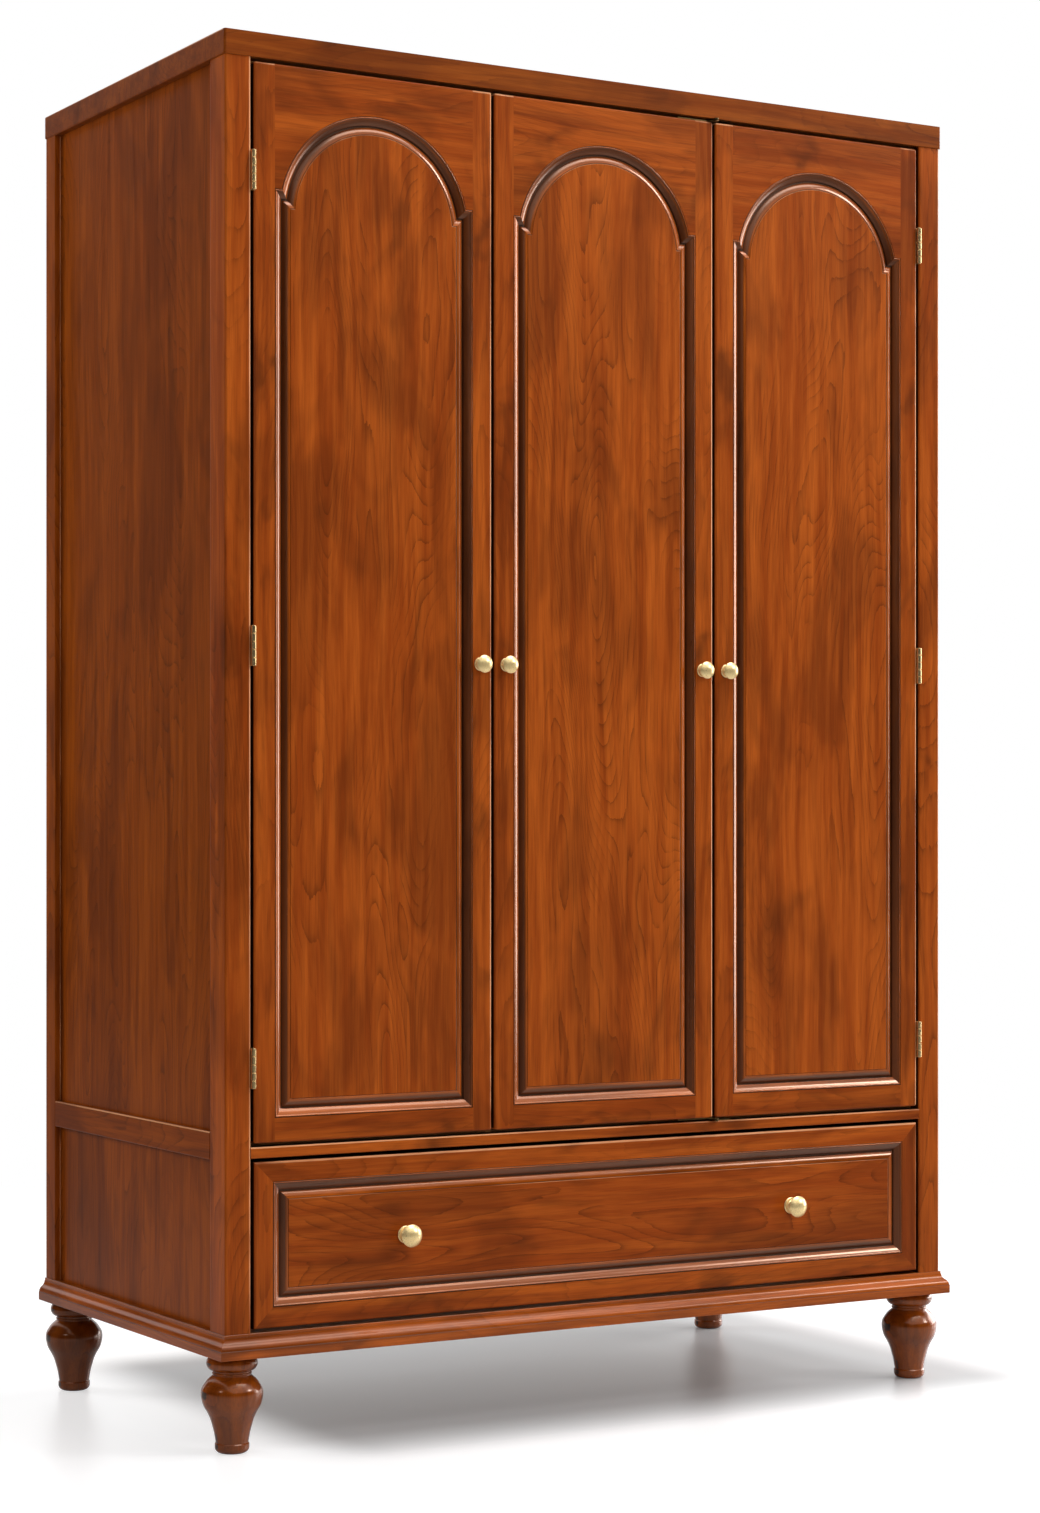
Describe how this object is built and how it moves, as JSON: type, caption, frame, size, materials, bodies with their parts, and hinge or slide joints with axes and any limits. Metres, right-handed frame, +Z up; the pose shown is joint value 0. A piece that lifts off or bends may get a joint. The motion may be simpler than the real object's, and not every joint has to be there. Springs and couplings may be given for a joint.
{
  "type": "wardrobe",
  "caption": "Cherry-stained wardrobe on turned feet, with arched raised-panel doors over a wide moulded drawer, and a hanging bay and shelves inside.",
  "frame": {"origin": "on the floor, in the middle of the outer box", "axes": "+X to the right seen from the front, -Y out of the doors, +Z up"},
  "size_m": [1.285, 0.685, 2],
  "materials": {
    "cherry_top": "satin lacquered cherry-stained hardwood",
    "cherry_post": "satin lacquered cherry-stained hardwood, grain upright",
    "cherry_frame": "satin lacquered cherry-stained hardwood",
    "cherry_panel": "satin lacquered cherry veneer with cathedral figure",
    "cherry_side": "satin lacquered cherry-stained hardwood",
    "cherry_moulding": "satin lacquered cherry-stained moulding",
    "cherry_foot": "glossier lacquered turned hardwood, dark stain",
    "inner_wood": "plain lightly stained hardwood and plywood",
    "knob_brass": "satin lacquered brass",
    "hinge_brass": "antiqued brass",
    "rail_steel": "chrome-plated steel tube",
    "catch_plastic": "off-white plastic case"
  },
  "bodies": {
    "carcase": {"top_board": "cherry_top", "post_front_left": "cherry_post", "post_front_right": "cherry_post", "post_back_left": "cherry_post", "post_back_right": "cherry_post", "side_panels_left": "cherry_side", "side_panels_right": "cherry_side", "side_rail_left": "cherry_side", "side_rail_right": "cherry_side", "back_frame": "inner_wood", "back_panels": "inner_wood", "base_frame": "cherry_side", "base_moulding": "cherry_moulding", "foot_front_left": "cherry_foot", "foot_front_right": "cherry_foot", "foot_back_left": "cherry_foot", "foot_back_right": "cherry_foot", "waist_rail": "cherry_frame", "floor_board": "inner_wood", "divider": "inner_wood", "door_stops": "inner_wood", "door_catches": "catch_plastic", "hat_shelf": "inner_wood", "shelf_bearers": "inner_wood", "hanging_rail": "rail_steel", "rail_sockets": "rail_steel", "bay_shelves": "inner_wood", "shelf_pins": "knob_brass", "drawer_runners": "inner_wood", "post_hinge_leaves": "hinge_brass", "pivot_plates": "hinge_brass"},
    "left_door": {"left_door_stiles": "cherry_frame", "left_door_top_rail": "cherry_frame", "left_door_bottom_rail": "cherry_frame", "left_door_panel": "cherry_panel", "left_door_moulding": "cherry_moulding", "left_door_knob": "knob_brass", "left_door_leaves": "hinge_brass"},
    "middle_door": {"middle_door_stiles": "cherry_frame", "middle_door_top_rail": "cherry_frame", "middle_door_bottom_rail": "cherry_frame", "middle_door_panel": "cherry_panel", "middle_door_moulding": "cherry_moulding", "middle_door_knobs": "knob_brass", "middle_door_pivots": "hinge_brass"},
    "right_door": {"right_door_stiles": "cherry_frame", "right_door_top_rail": "cherry_frame", "right_door_bottom_rail": "cherry_frame", "right_door_panel": "cherry_panel", "right_door_moulding": "cherry_moulding", "right_door_knob": "knob_brass", "right_door_leaves": "hinge_brass"},
    "drawer": {"drawer_front_frame": "cherry_frame", "drawer_front_panel": "cherry_panel", "drawer_front_moulding": "cherry_moulding", "drawer_knobs": "knob_brass", "drawer_sides": "inner_wood", "drawer_ends": "inner_wood", "drawer_bottom": "inner_wood"}
  },
  "joints": [
    {"name": "left_door_hinge", "type": "hinge", "parent": "carcase", "child": "left_door", "pos_m": [-0.5855, -0.3207, 1.199], "axis": [0, 0, -1], "range_deg": [0, 170]},
    {"name": "middle_door_hinge", "type": "hinge", "parent": "carcase", "child": "middle_door", "pos_m": [0.19517, -0.3225, 1.199], "axis": [0, 0, 1], "range_deg": [0, 75]},
    {"name": "right_door_hinge", "type": "hinge", "parent": "carcase", "child": "right_door", "pos_m": [0.5855, -0.3207, 1.199], "axis": [0, 0, 1], "range_deg": [0, 170]},
    {"name": "drawer_slide", "type": "slide", "parent": "carcase", "child": "drawer", "axis": [0, -1, 0], "range_m": [0, 0.42]}
  ]
}
